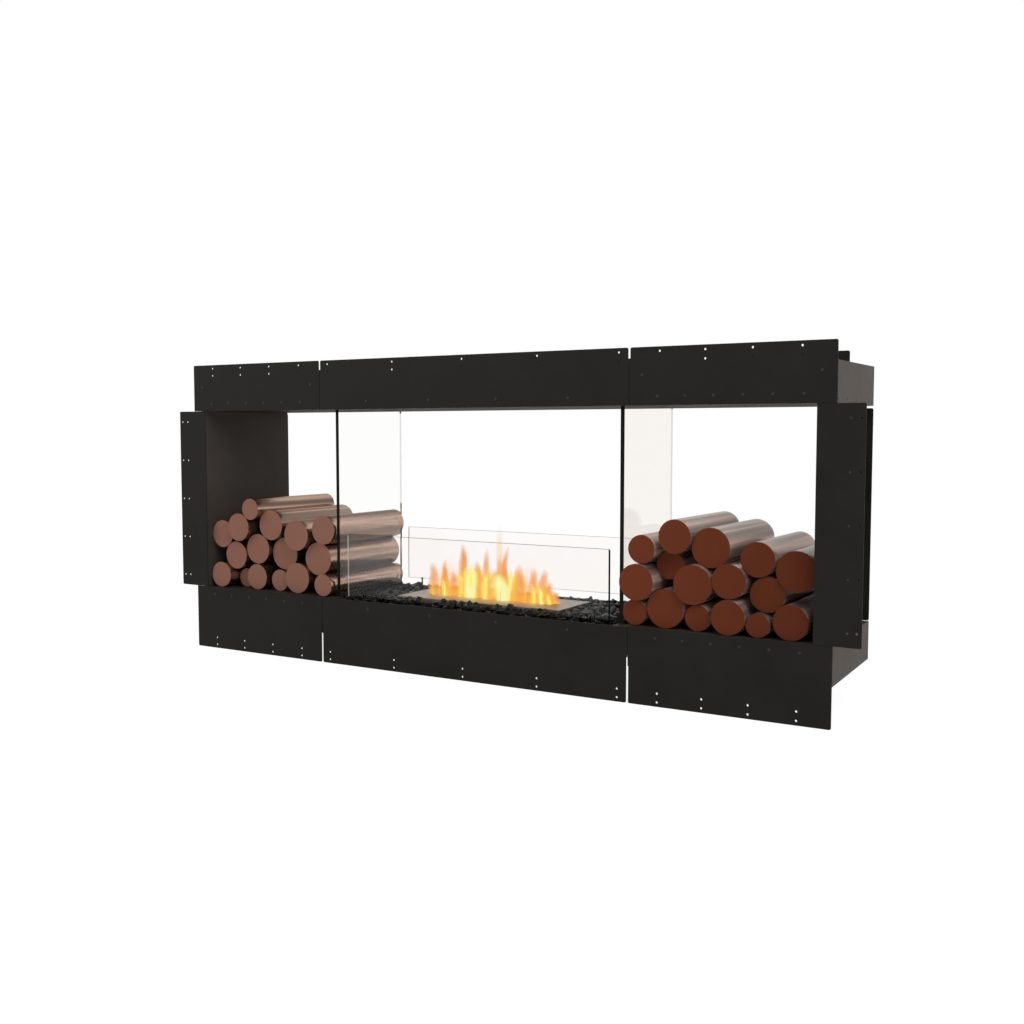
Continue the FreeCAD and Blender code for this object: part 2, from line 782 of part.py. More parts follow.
BURNER_X = -S.burner_shift
PLATE_TOP = DECK + S.burner_rise
PLATE_LOW = PLATE_TOP - S.burner_plate
TANK_X = (BURNER_X - S.burner_long / 2 + S.tank_set, BURNER_X + S.burner_long / 2 - S.tank_set)
TANK_Y = inside((-(S.burner_wide / 2), S.burner_wide / 2), S.tank_set)
TANK_IN_X = inside(TANK_X, S.tank_wall)
TANK_IN_Y = inside(TANK_Y, S.tank_wall)
TANK_LOW = TRAY_Z[0] + S.sheet
SHUTTER_Z = (PLATE_LOW - S.shutter_drop - S.shutter_thick, PLATE_LOW - S.shutter_drop)
RAIL_Z = (SHUTTER_Z[0] - S.fit_gap - S.tank_wall, SHUTTER_Z[0] - S.fit_gap)
FLAME_LONG = S.burner_long - S.flame_set * 2
SHUTTER_HALF = FLAME_LONG / 2 + S.shutter_lap
# Behind its middle line, the slot's half width and the open shutter lie side by side in the tank,
# but for the edge that carries the pull tab, which stays in the slot
TAB_STRIP = S.tab_clear * 2 + S.shutter_thick
FLAME_WIDE = (TANK_IN_Y[1] - S.shutter_room - S.shutter_lap + TAB_STRIP) * 2 / 3
TAB_REAR = FLAME_WIDE / 2 - S.tab_clear


def make_burner():
    top = block("burner_top", centred(BURNER_X, S.burner_long),
                centred(formula(0), S.burner_wide), (PLATE_LOW, PLATE_TOP))
    slot = block("flame_slot", centred(BURNER_X, FLAME_LONG),
                 centred(formula(0), FLAME_WIDE), (PLATE_LOW, PLATE_TOP))
    keep(cut("burner_top_cut", top, [slot]), "burner_top_plate")
    tank = block("tank_block", TANK_X, TANK_Y, (TANK_LOW, PLATE_LOW))
    hollow = block("tank_hollow", TANK_IN_X, TANK_IN_Y, (TANK_LOW + S.tank_wall, PLATE_LOW))
    keep(cut("tank", tank, [hollow]), "fuel_tank")
    wick_set = S.tank_wall + S.wick_gap
    wick = block("wick", inside(TANK_IN_X, wick_set), inside(TANK_IN_Y, wick_set),
                 (TANK_LOW + S.tank_wall, RAIL_Z[0] - S.wick_room))
    keep(wick, "wick_block")
    make_rails()
    make_shutter()


def make_rails():
    """Angle rails on the end walls of the tank that carry the shutter."""
    reach = SHUTTER_HALF - S.rail_lap
    rails = []
    for name, side in SIDES:
        wall = TANK_IN_X[1] if side > 0 else TANK_IN_X[0]
        flat_x = (BURNER_X + reach, wall) if side > 0 else (wall, BURNER_X - reach)
        leg_x = (wall - S.tank_wall, wall) if side > 0 else (wall, wall + S.tank_wall)
        flat = block(f"rail_flat_{name}", flat_x, TANK_IN_Y, RAIL_Z)
        leg = block(f"rail_leg_{name}", leg_x, TANK_IN_Y, (RAIL_Z[0] - S.rail_leg, RAIL_Z[0]))
        rails.append(joined(f"rail_{name}", [flat, leg]))
    keep(group("rails", rails), "shutter_rails")


def make_shutter():
    """The shutter in its open place behind the flame slot, with its pull tab in the slot."""
    tab_y = (TAB_REAR - S.shutter_thick, TAB_REAR)
    front = tab_y[0] - S.tab_clear - S.shutter_lap
    blade = block("shutter_blade", centred(BURNER_X, SHUTTER_HALF * 2),
                  (front, front + FLAME_WIDE + S.shutter_lap * 2), SHUTTER_Z)
    tab = block("shutter_tab", centred(BURNER_X, S.tab_wide), tab_y,
                (SHUTTER_Z[1], PLATE_TOP + S.tab_rise))
    hook = rod("tab_hook", "y", (BURNER_X, tab_y[0], PLATE_TOP + S.tab_rise / 2),
               S.shutter_thick, S.tab_hole)
    keep(cut("shutter", joined("shutter_folded", [blade, tab]), [hook]), "burner_shutter")


# Stone bed and what carries it

def make_bed():
    x = inside((-WELL_HALF, WELL_HALF), S.fit_gap)
    y = inside(WELL_Y, S.fit_gap)
    room = (inside(TANK_X, -S.bed_gap), inside(TANK_Y, -S.bed_gap))
    shelf_z = (SHELF_TOP - S.sheet, SHELF_TOP)
    shelf = cut("shelf", block("shelf_block", x, y, shelf_z),
                [block("shelf_hole", *room, shelf_z)])
    keep(shelf, "stone_shelf")
    ledge_x = inside((-WELL_HALF, WELL_HALF), S.ledge_set)
    ledges = []
    for name, face in FACES:
        start = S.plate + S.sheet
        flat = block(f"ledge_flat_{name}", ledge_x, faced(face, start, start + S.ledge_wide),
                     (shelf_z[0] - S.sheet, shelf_z[0]))
        leg = block(f"ledge_leg_{name}", ledge_x, faced(face, start, start + S.sheet),
                    (shelf_z[0] - S.ledge_wide, shelf_z[0] - S.sheet))
        ledges.append(joined(f"ledge_{name}", [flat, leg]))
    keep(group("ledges", ledges), "shelf_ledges")
    bed_z = (SHELF_TOP, DECK + S.bed_rise)
    tools = [block("bed_hole", *room, bed_z)]
    for index, (_, face, at) in enumerate(foot_places()):
        tools.append(block(f"bed_foot_{index}", *foot_spans(at, face, S.fit_gap), bed_z))
    keep(cut("bed", block("bed_block", x, y, bed_z), tools), "stone_bed")


# Logs: a row on the deck, and further logs that each rest on two supports

GLASS_FACE = PANE_AT + S.pane_thick / 2
# Share of the clearance that counts as kept, so that rounding does not refuse a place
ALMOST = 0.99
# A stack's logs are lettered in the order in which they are laid. The lowest row, from the glass
# outwards: grade, units of room towards the glass, steps that the front end stands back
LOWEST = {
    "left": {"a": (1, 3, 1), "b": (5, 29, 3), "c": (1, 1, 5), "d": (3, 10, 3), "e": (0, 1, 8),
             "f": (3, 2, 1)},
    "right": {"a": (1, 1, 4), "b": (6, 4, 3), "c": (1, 4, 3), "d": (4, 6, 0), "e": (0, 1, 1),
              "f": (4, 7, 1)},
}
# Each further log: grade, steps that its front end stands back, its two supports from the glass outwards
UPPER = {
    "left": {"g": (6, 5, "a", "b"), "h": (6, 7, "b", "c"), "i": (5, 4, "h", "d"),
             "j": (4, 3, "i", "f"), "k": (4, 3, "glass", "g"), "l": (5, 1, "g", "h"),
             "m": (5, 4, "h", "i"), "n": (4, 3, "j", "wall"), "o": (4, 0, "i", "n"),
             "p": (1, 0, "m", "o")},
    "right": {"g": (5, 0, "glass", "b"), "h": (6, 1, "b", "c"), "i": (4, 1, "h", "d"),
              "j": (4, 5, "e", "f"), "k": (2, 9, "g", "h"), "l": (2, 2, "g", "k"),
              "n": (6, 4, "h", "i"), "m": (4, 2, "k", "n"), "o": (4, 4, "i", "j"),
              "p": (6, 4, "j", "wall")},
}


def log_diameter(grade):
    return S.log_slim + S.log_grade * grade


def lowest_row(name):
    """Places on the deck side by side, from the glass outwards, as (x, z, radius)."""
    logs = {}
    before = None
    for letter, (grade, room, _) in LOWEST[name].items():
        radius = log_diameter(grade).value / 2
        x = before[0] + 2 * math.sqrt(before[2] * radius) if before else GLASS_FACE.value + radius
        x += room * S.log_room.value
        before = (x, DECK.value + S.fit_gap.value + radius, radius)
        if is_free(before, []):
            logs[letter] = before
    return logs


def rest_between(first, second, radius):
    """Place of a log that lies in the cradle of two others, the first nearer to the glass."""
    reach = [log[2] + radius + S.fit_gap.value for log in (first, second)]
    across, rise = second[0] - first[0], second[1] - first[1]
    apart = math.hypot(across, rise)
    along = (reach[0] ** 2 - reach[1] ** 2 + apart ** 2) / (2 * apart)
    height = reach[0] ** 2 - along ** 2
    if height < 0:
        return None
    up = math.sqrt(height)
    x = first[0] + (along * across - up * rise) / apart
    z = first[1] + (along * rise + up * across) / apart
    return (x, z, radius)


def rest_against(support, log, radius):
    """Place of a log that lies on another and leans on the glass or the end wall."""
    away = radius + S.fit_gap.value
    x = GLASS_FACE.value + away if support == "glass" else OPENING_HALF.value - away
    height = (log[2] + away) ** 2 - (x - log[0]) ** 2
    return (x, log[1] + math.sqrt(height), radius) if height >= 0 else None


def is_free(log, others):
    """Whether a log lies inside its bay and clear of the others."""
    x, z, radius = log
    away = radius + S.fit_gap.value * ALMOST
    if not GLASS_FACE.value + away <= x <= OPENING_HALF.value - away:
        return False
    if not DECK.value + away <= z <= CEILING.value - away:
        return False
    return all(math.hypot(x - other[0], z - other[1]) >= away + other[2] for other in others)


def wanted_place(logs, radius, supports):
    """The place on the two named supports, if both are there."""
    walls = [name for name in supports if name in ("glass", "wall")]
    under = [logs[name] for name in supports if name in logs]
    if len(walls) + len(under) < 2:
        return None
    return rest_against(walls[0], under[0], radius) if walls else rest_between(*under, radius)


def settle(logs, radius, supports):
    """The wanted place if it is free, or else the lowest free one, or none in a full bay."""
    placed = list(logs.values())
    wanted = wanted_place(logs, radius, supports)
    if wanted and is_free(wanted, placed):
        return wanted
    cradles = [rest_between(one, other, radius)
               for one in placed for other in placed if one[0] < other[0]]
    cradles += [rest_against(wall, one, radius) for one in placed for wall in ("glass", "wall")]
    free = [log for log in cradles if log and is_free(log, placed)]
    return min(free, key=lambda log: log[1], default=None)


def make_logs():
    for name, side in SIDES:
        logs = lowest_row(name)
        shapes = {letter: (grade, steps) for letter, (grade, _, steps) in LOWEST[name].items()}
        for letter, (grade, steps, *supports) in UPPER[name].items():
            shapes[letter] = (grade, steps)
            found = settle(logs, log_diameter(grade).value / 2, supports)
            if found:
                logs[letter] = found
        rods = []
        for letter, (x, z, _) in logs.items():
            grade, steps = shapes[letter]
            front = FRONT + S.log_set + S.log_step * steps
            rods.append(rod(f"log_{name}_{letter}", "y", (x * side, front, z), REAR - S.log_set - front,
                            log_diameter(grade)))
        keep(group(f"logs_{name}", rods), f"log_stack_{name}")


def check_and_write():
    doc.recompute()
    for item in doc.Objects:
        if "Invalid" in item.State or "Error" in item.State:
            raise RuntimeError(f"{item.Label} failed: {item.State}")
    for item in parts:
        if item.Shape.isNull() or not item.Shape.isValid():
            raise RuntimeError(f"{item.Label} has no valid shape")
    os.makedirs("parts", exist_ok=True)
    for item in parts:
        item.Shape.exportStep(f"parts/{item.Label}.step")
    print(len(parts), "pieces,", sum(len(item.Shape.Solids) for item in parts), "solids")


make_flanges()
make_screws()
make_bolts()
make_headers()
make_bases()
make_caps()
make_end_walls()
make_panes()
make_screens()
make_burner()
make_bed()
make_logs()
check_and_write()
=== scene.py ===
"""Looks of the see-through bioethanol fireplace insert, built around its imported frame.

All places are in metres in the part's own frame: +X to the right, +Y to the rear, +Z up.
"""

import math
import random

import bmesh
import bpy
from mathutils import Matrix, Vector, noise


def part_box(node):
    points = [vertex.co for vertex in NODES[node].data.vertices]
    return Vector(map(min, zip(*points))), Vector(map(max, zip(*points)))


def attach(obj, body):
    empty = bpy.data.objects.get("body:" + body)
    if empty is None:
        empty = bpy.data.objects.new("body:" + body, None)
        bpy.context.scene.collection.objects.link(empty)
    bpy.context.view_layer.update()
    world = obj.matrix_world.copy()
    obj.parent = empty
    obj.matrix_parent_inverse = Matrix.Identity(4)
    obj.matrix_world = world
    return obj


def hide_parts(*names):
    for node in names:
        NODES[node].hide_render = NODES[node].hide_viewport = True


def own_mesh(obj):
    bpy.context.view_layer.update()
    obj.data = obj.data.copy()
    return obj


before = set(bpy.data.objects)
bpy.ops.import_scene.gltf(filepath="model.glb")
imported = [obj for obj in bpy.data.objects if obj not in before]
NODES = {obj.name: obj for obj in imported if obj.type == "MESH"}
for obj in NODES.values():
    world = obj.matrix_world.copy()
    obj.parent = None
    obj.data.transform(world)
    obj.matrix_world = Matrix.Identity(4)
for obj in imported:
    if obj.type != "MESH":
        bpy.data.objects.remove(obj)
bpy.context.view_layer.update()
MM = 0.001

# Camera of the photograph: place, heading to the left of +Y, downward pitch, and focal length

CAMERA_PLACE = (1.5438, -2.4976, 0.6159)
CAMERA_HEADING = math.radians(31.045)
CAMERA_PITCH = math.radians(-4.008)
CAMERA_LENS = 39.94


# Node graphs

class Graph:
    """A node tree, with short calls to add and join nodes."""

    def __init__(self, tree):
        self.tree = tree

    def node(self, kind, inputs=None, **settings):
        item = self.tree.nodes.new("ShaderNode" + kind)
        for name, value in settings.items():
            setattr(item, name, value)
        self.feed(item, inputs or {})
        return item

    def feed(self, item, inputs):
        """Link or set inputs of a node, by name or by number."""
        for name, value in inputs.items():
            if isinstance(value, bpy.types.NodeSocket):
                self.tree.links.new(value, item.inputs[name])
            else:
                item.inputs[name].default_value = value

    def place(self, scale=(1, 1, 1)):
        """The point in the part's frame, stretched."""
        point = self.node("TexCoord").outputs["Object"]
        return self.node("Mapping", {"Vector": point, "Scale": scale}).outputs["Vector"]

    def attribute(self, name, scale=(1, 1, 1)):
        """A vector kept in the mesh, stretched."""
        point = self.node("Attribute", attribute_name=name).outputs["Vector"]
        return self.node("Mapping", {"Vector": point, "Scale": scale}).outputs["Vector"]

    def split(self, vector):
        """A vector's X, Y and Z."""
        return self.node("SeparateXYZ", {"Vector": vector}).outputs

    def noise(self, point, scale, detail=3.0, roughness=0.55):
        return self.node("TexNoise", {"Vector": point, "Scale": scale, "Detail": detail,
                                      "Roughness": roughness}).outputs["Fac"]

    def ramp(self, factor, *stops):
        """A colour ramp from (place, colour) stops."""
        item = self.node("ValToRGB", {"Fac": factor})
        elements = item.color_ramp.elements
        while len(elements) < len(stops):
            elements.new(0.5)
        for element, (position, colour) in zip(elements, stops):
            element.position = position
            element.color = (*colour, 1.0)
        return item.outputs["Color"]

    def range(self, value, low, high, start=0.0, end=1.0):
        """A value mapped from start and end to low and high."""
        return self.node("MapRange", {"Value": value, "From Min": start, "From Max": end,
                                      "To Min": low, "To Max": high}).outputs["Result"]

    def math(self, operation, first, second=0.0):
        return self.node("Math", {0: first, 1: second}, operation=operation).outputs["Value"]

    def blend(self, factor, first, second):
        """A mix of two colours, the second where the factor is 1."""
        item = self.node("Mix", data_type="RGBA")
        colours = [socket for socket in item.inputs if socket.type == "RGBA"]
        self.tree.links.new(factor, item.inputs["Factor"])
        for socket, colour in zip(colours, (first, second)):
            self.tree.links.new(colour, socket)
        return next(socket for socket in item.outputs if socket.type == "RGBA")

    def mix(self, factor, first, second):
        """A mix of two shaders, the second where the factor is 1."""
        item = self.node("MixShader", {0: factor, 1: first, 2: second})
        return item.outputs["Shader"]

    def seen(self):
        """1 for what is seen directly, by gloss or through glass, and 0 for what only lights."""
        path = self.node("LightPath").outputs
        return self.math("MAXIMUM", path["Is Camera Ray"],
                         self.math("MAXIMUM", path["Is Glossy Ray"], path["Is Transmission Ray"]))


class MaterialGraph(Graph):
    """The node tree of a new material."""

    def __init__(self, name):
        self.material = bpy.data.materials.new(name)
        self.material.use_nodes = True
        super().__init__(self.material.node_tree)
        self.shader = self.tree.nodes["Principled BSDF"]
        self.output = self.tree.nodes["Material Output"]

    def set(self, **inputs):
        """Set inputs of the main shader: an underscore stands for a space in a name."""
        self.feed(self.shader, {name.replace("_", " "): value for name, value in inputs.items()})

    def bump(self, height, strength, distance):
        normal = self.node("Bump", {"Height": height, "Strength": strength, "Distance": distance})
        self.set(Normal=normal.outputs["Normal"])

    def show(self, shader):
        self.tree.links.new(shader, self.output.inputs["Surface"])


def grey(level):
    return (level, level, level)


def tinted(colour, share):
    return tuple(channel * share for channel in colour)


# Materials

# The steel's painted reflection of the flames fades from bright to plain between these distances from
# the plate's middle
PAINTED_GLOW_FROM = 15 * MM
PAINTED_GLOW_ENDS = (150 * MM, 200 * MM)
STEEL_PLAIN = (0.295, 0.237, 0.188)
# Colours of the painted reflection and glow of the flames on the steel
STEEL_PAINTED_WARM_GLOW = (0.4, 0.31, 0.23)
STEEL_PAINTED_REFLECTION = (0.8, 0.66, 0.5)
GLASS_SHADOW = (0.95, 0.945, 0.94, 1)
BARK_GLOSS = (0.55, 0.5, 0.46, 1)
# Rings in the logs' ends: radians per metre of radius, and how far they waver
RING_PITCH = 1900.0
RING_WAVER = 4 * MM
# Colours of the flames, from cool to hot
FLAME_COLOURS = (
    (0.0, (0.88, 0.29, 0.13)), (0.3, (0.95, 0.35, 0.06)), (0.55, (1.0, 0.52, 0.045)),
    (0.74, (1.0, 0.92, 0.2)), (0.88, (0.98, 0.97, 0.42)), (1.0, (0.96, 0.99, 0.74)),
)


def coat_material(name, colour, roughness, specular, outside=None):
    """Powder coat with fine orange peel and faint cloudiness.

    With outside = (distance, colour), that colour takes over further than that from X = 0.
    """
    graph = MaterialGraph(name)
    cloud = graph.noise(graph.place(), scale=7.0, detail=4.0)
    peel = graph.noise(graph.place(), scale=420.0, detail=2.0)
    grain = graph.noise(graph.place(), scale=1600.0, detail=1.0)

    def cloudy(shade):
        return graph.ramp(cloud, (0.3, tinted(shade, 0.85)), (0.7, tinted(shade, 1.18)))

    base = cloudy(colour)
    if outside:
        reach, other = outside
        across = graph.split(graph.place())["X"]
        is_out = graph.math("GREATER_THAN", graph.math("ABSOLUTE", across), reach)
        base = graph.blend(is_out, base, cloudy(other))
    graph.set(Base_Color=base,
              Roughness=graph.range(cloud, roughness - 0.05, roughness + 0.05, 0.3, 0.7),
              Specular_IOR_Level=specular)
    graph.bump(graph.math("ADD", peel, grain), strength=0.22, distance=0.3 * MM)
    return graph.material


def steel_material():
    """Brushed stainless steel, painted brighter and warmer by the slot as a reflection of the flames.
    """
    graph = MaterialGraph("burner_steel")
    streaks = graph.noise(graph.place((6, 500, 500)), scale=1.0, detail=4.0)
    stains = graph.noise(graph.place(), scale=28.0, detail=4.0)
    low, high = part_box("burner_top_plate")
    point = graph.split(graph.place())
    near = graph.range(graph.math("ABSOLUTE", point["Y"]), 1.0, 0.0,
                       PAINTED_GLOW_FROM, (high.y - low.y) / 2)
    along = graph.math("SUBTRACT", point["X"], (low.x + high.x) / 2)
    beside = graph.range(graph.math("ABSOLUTE", along), 1.0, 0.0, *PAINTED_GLOW_ENDS)
    # Painted reflection of the flames: how far the steel's base colour is lightened near the slot
    bright = graph.math("MULTIPLY", graph.math("MULTIPLY", near, beside),
                        graph.range(stains, 0.6, 1.0))
    graph.set(Base_Color=graph.ramp(bright, (0.0, STEEL_PLAIN), (0.3, STEEL_PAINTED_WARM_GLOW),
                                    (0.8, STEEL_PAINTED_REFLECTION)),
              Roughness=graph.range(streaks, 0.3, 0.48, 0.3, 0.7), Metallic=0.9)
    graph.bump(streaks, strength=0.1, distance=0.2 * MM)
    return graph.material


def stone_material(name, specular):
    """Black glass-like chips."""
    graph = MaterialGraph(name)
    mottle = graph.noise(graph.place(), scale=60.0, detail=4.0)
    chip = graph.noise(graph.place(), scale=260.0, detail=3.0)
    graph.set(Base_Color=graph.ramp(mottle, (0.35, grey(0.002)), (0.7, grey(0.006))),
              Roughness=graph.range(chip, 0.07, 0.26, 0.35, 0.65), Specular_IOR_Level=specular)
    graph.bump(chip, strength=0.2, distance=0.6 * MM)
    return graph.material


def glass_material(name, tint, ior, face_axis, end_axis, rest, low_end, high_end,
                   clear_ends=(0.0, 0.0)):
    """Clear glass that lets lamps through, its edges painted as the light and shade seen in them.

    Its faces look along face_axis. The edges' colours are those of the low and the high end along
    end_axis, and of the rest. clear_ends says how clear the low and the high end are.
    """
    graph = MaterialGraph(name)
    smudge = graph.noise(graph.place(), scale=11.0, detail=3.0)
    graph.set(Base_Color=(*tint, 1), Roughness=graph.range(smudge, 0.0, 0.012, 0.4, 0.8),
              IOR=ior, Transmission_Weight=1.0)
    is_shadow = graph.node("LightPath").outputs["Is Shadow Ray"]
    clear = graph.node("BsdfTransparent", {"Color": GLASS_SHADOW}).outputs["BSDF"]
    pane = graph.mix(is_shadow, graph.shader.outputs["BSDF"], clear)
    normal = graph.split(graph.node("TexCoord").outputs["Normal"])
    point = graph.split(graph.place())
    is_end = graph.math("GREATER_THAN", graph.math("ABSOLUTE", normal[end_axis]), 0.5)
    is_high = graph.math("GREATER_THAN", point[end_axis], 0.0)
    which = graph.math("MULTIPLY", is_end, graph.range(is_high, 0.5, 1.0))
    grain = graph.noise(graph.place(), scale=300.0, detail=2.0)
    # Painted light and shade on the edges: one colour at each end and one along the rest
    edge = graph.node("BsdfPrincipled", {
        "Base Color": graph.ramp(which, (0.0, rest), (0.5, low_end), (1.0, high_end)),
        "Roughness": graph.range(grain, 0.4, 0.6), "Specular IOR Level": 0.05})
    is_face = graph.math("GREATER_THAN", graph.math("ABSOLUTE", normal[face_axis]), 0.9)
    clear_end = graph.math("MULTIPLY", is_end, graph.range(is_high, *clear_ends))
    is_clear = graph.math("MAXIMUM", is_face, clear_end)
    graph.show(graph.mix(is_clear, edge.outputs["BSDF"], pane))
    return graph.material


def bark_material(name, colour, metallic):
    """Polished sides of the logs, with painted reflections as light and dark bands, and faint streaks
    along the log.
    """
    graph = MaterialGraph(name)
    streaks = graph.noise(graph.attribute("local", (200, 1.0, 200)), scale=1.0, detail=2.0)
    painted_reflection_bands = graph.noise(graph.attribute("local", (38, 0.8, 38)), scale=1.0, detail=1.0)
    shade = graph.math("ADD", graph.math("MULTIPLY", streaks, 0.08),
                       graph.math("MULTIPLY", painted_reflection_bands, 0.92))
    # Painted reflection: the bands turn the base colour dark and light round the log
    graph.set(Base_Color=graph.ramp(shade, (0.34, tinted(colour, 0.45)), (0.47, tinted(colour, 0.9)),
                                    (0.57, tinted(colour, 1.65)), (0.68, tinted(colour, 0.8))),
              Roughness=graph.range(streaks, 0.18, 0.27, 0.3, 0.7), Metallic=metallic,
              Specular_Tint=BARK_GLOSS)
    graph.bump(streaks, strength=0.02, distance=0.3 * MM)
    return graph.material


def end_material(name, colour, painted_wall_shade):
    """Sawn ends of the logs, with hardly visible rings and saw grain.

    Painted shade darkens them towards the end wall: there the colour is multiplied by the given share,
    by the glass it is left as it is.
    """
    graph = MaterialGraph(name)
    point = graph.attribute("local")
    parts = graph.split(point)
    flat = graph.node("CombineXYZ", {"X": parts["X"], "Y": parts["Z"]}).outputs["Vector"]
    warp = graph.noise(point, scale=60.0, detail=3.0)
    radius = graph.node("VectorMath", {0: flat}, operation="LENGTH").outputs["Value"]
    wavy = graph.math("ADD", radius, graph.math("MULTIPLY", warp, RING_WAVER))
    rings = graph.math("SINE", graph.math("MULTIPLY", wavy, RING_PITCH))
    speck = graph.noise(point, scale=500.0, detail=2.0)
    shade = graph.math("ADD", graph.math("MULTIPLY", rings, 0.08),
                       graph.math("MULTIPLY", speck, 0.5))
    across = graph.split(graph.place())["X"]
    low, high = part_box("log_stack_right")
    # Painted shade: the colour is scaled down towards the end wall
    painted_shade_factor = graph.range(graph.math("ABSOLUTE", across), 1.0, painted_wall_shade, low.x, high.x)
    wood = graph.ramp(shade, (0.1, tinted(colour, 0.92)), (0.4, tinted(colour, 1.08)))
    painted_shade_colour = graph.node("VectorMath", {"Vector": wood, "Scale": painted_shade_factor}, operation="SCALE")
    graph.set(Base_Color=painted_shade_colour.outputs["Vector"], Roughness=0.8, Specular_IOR_Level=0.03)
    graph.bump(shade, strength=0.12, distance=0.3 * MM)
    return graph.material


def board_material(name, colour, scale):
    """Pressed mineral fibre."""
    graph = MaterialGraph(name)
    fibre = graph.noise(graph.place((1, 3, 3)), scale, detail=5.0)
    graph.set(Base_Color=graph.ramp(fibre, (0.3, tinted(colour, 0.8)), (0.7, colour)),
              Roughness=0.9)
    graph.bump(fibre, strength=0.4, distance=1 * MM)
    return graph.material


def flame_material():
    """Light without a surface: heat sets its colour, and density what it hides behind it."""
    graph = MaterialGraph("flame")
    heat, density, _ = graph.split(graph.attribute("local"))
    wisps = graph.noise(graph.place((70, 70, 14)), scale=1.0, detail=3.0)
    level = graph.math("ADD", heat, graph.range(wisps, -0.1, 0.1, 0.3, 0.7))
    colour = graph.ramp(level, *FLAME_COLOURS)
    light = graph.node("Emission", {"Color": colour, "Strength": 1.0}).outputs["Emission"]
    share = graph.math("MULTIPLY", density, graph.range(wisps, 0.8, 1.15, 0.3, 0.7))
    clear = graph.node("BsdfTransparent").outputs["BSDF"]
    graph.show(graph.mix(share, clear, light))
    return graph.material


# Meshes

WELD_GAP = 0.02 * MM
BEVEL_ANGLE = math.radians(50)


class Builder:
    """Collects shapes into one mesh. A shape is (points, faces, local points)."""

    def __init__(self):
        self.points, self.faces, self.slots, self.local = [], [], [], []

    def add(self, shape, matrix=Matrix(), slots=None):
        start = len(self.points)
        points, faces, local = shape
        self.points += [matrix @ Vector(point) for point in points]
        self.local += local or points
        self.faces += [[start + index for index in face] for face in faces]
        self.slots += slots or [0] * len(faces)

    def finish(self, name, materials, flat=()):
        """Make the mesh: faces in the slots named as flat stay unsmoothed."""
        mesh = bpy.data.meshes.new(name)
        mesh.from_pydata([tuple(point) for point in self.points], [], self.faces)
        for material in materials:
            mesh.materials.append(material)
        mesh.polygons.foreach_set("material_index", self.slots)
        mesh.polygons.foreach_set("use_smooth", [slot not in flat for slot in self.slots])
        local = mesh.attributes.new("local", "FLOAT_VECTOR", "POINT")
        local.data.foreach_set("vector", [value for point in self.local for value in point])
        mesh.update()
        item = bpy.data.objects.new(name, mesh)
        bpy.context.scene.collection.objects.link(item)
        return item


def lathe(profile, segments):
    """A closed body turned about Z from (radius, height) points, capped at both ends."""
    points = [(0.0, 0.0, profile[0][1])]
    for radius, height in profile:
        for step in range(segments):
            angle = 2 * math.pi * step / segments
            points.append((radius * math.cos(angle), radius * math.sin(angle), height))
    points.append((0.0, 0.0, profile[-1][1]))
    faces = []
    last = len(points) - 1
    for ring in range(len(profile) - 1):
        for step in range(segments):
            after = (step + 1) % segments
            low = 1 + ring * segments
            faces.append((low + step, low + after, low + segments + after, low + segments + step))
    top = 1 + (len(profile) - 1) * segments
    for step in range(segments):
        after = (step + 1) % segments
        faces.append((0, 1 + after, 1 + step))
        faces.append((last, top + step, top + after))
    return points, faces, None


def solids(node):
    """Lowest and highest corner of each separate solid of a CAD node."""
    mesh = NODES[node].data
    keys = [tuple(round(value, 5) for value in vertex.co) for vertex in mesh.vertices]
    leader = {key: key for key in keys}

    def find(key):
        while leader[key] != key:
            leader[key] = leader[leader[key]]
            key = leader[key]
        return key

    for polygon in mesh.polygons:
        first = find(keys[polygon.vertices[0]])
        for index in polygon.vertices[1:]:
            leader[find(keys[index])] = first
    groups = {}
    for key in leader:
        groups.setdefault(find(key), []).append(key)
    boxes = []
    for points in groups.values():
        low = Vector(min(point[axis] for point in points) for axis in range(3))
        high = Vector(max(point[axis] for point in points) for axis in range(3))
        boxes.append((low, high))
    return sorted(boxes, key=lambda box: tuple(box[0]))


def soften(item, width, segments=2):
    """Weld a CAD node's corners and round its edges, or chamfer them with one segment."""
    weld = item.modifiers.new("weld", "WELD")
    weld.merge_threshold = WELD_GAP
    bevel = item.modifiers.new("round", "BEVEL")
    bevel.width = width
    bevel.segments = segments
    bevel.limit_method = "ANGLE"
    bevel.angle_limit = BEVEL_ANGLE
    bevel.harden_normals = segments > 1


def dress(node, material):
    """Give a CAD node its material."""
    mesh = NODES[node].data
    mesh.materials.clear()
    mesh.materials.append(material)


# Sheet metal, glass and what is hidden behind it

COAT_BLACK = (0.0115, 0.0107, 0.0093)
# End caps: the black coat painted lighter and browner, as the light from the right falls on them
CAP_PAINTED_LIGHT = (0.042, 0.030, 0.021)
# End walls: the inner face painted lighter than the black coat, as lit, and the outer side painted
# darker, as shade
WALL_PAINTED_LIGHT = (0.043, 0.035, 0.0295)
WALL_PAINTED_SHADE = tinted(COAT_BLACK, 0.6)
# Inside of the header and base boxes: the black coat painted lighter and warmer, as the floor's light
# thrown up under the headers
INNER_PAINTED_LIGHT = (0.030, 0.0215, 0.016)
BOLT_ZINC = (0.22, 0.21, 0.2)
BOARD_CREAM = (0.62, 0.58, 0.5)
WICK_CREAM = (0.7, 0.66, 0.58)
PLATE_ROUND = 0.4 * MM
FEET_ROUND = 0.3 * MM
LID_ROUND = 0.6 * MM
SHUTTER_ROUND = 0.4 * MM

PANE_IOR = 1.32
PANE_TINTS = {"left": (0.985, 0.985, 0.967), "right": (0.93, 0.892, 0.857)}
SCREEN_IOR = 1.2
SCREEN_TINT = (0.972, 0.957, 0.944)
SCREEN_CHAMFERS = {"front": 2.6 * MM, "rear": 1.5 * MM}
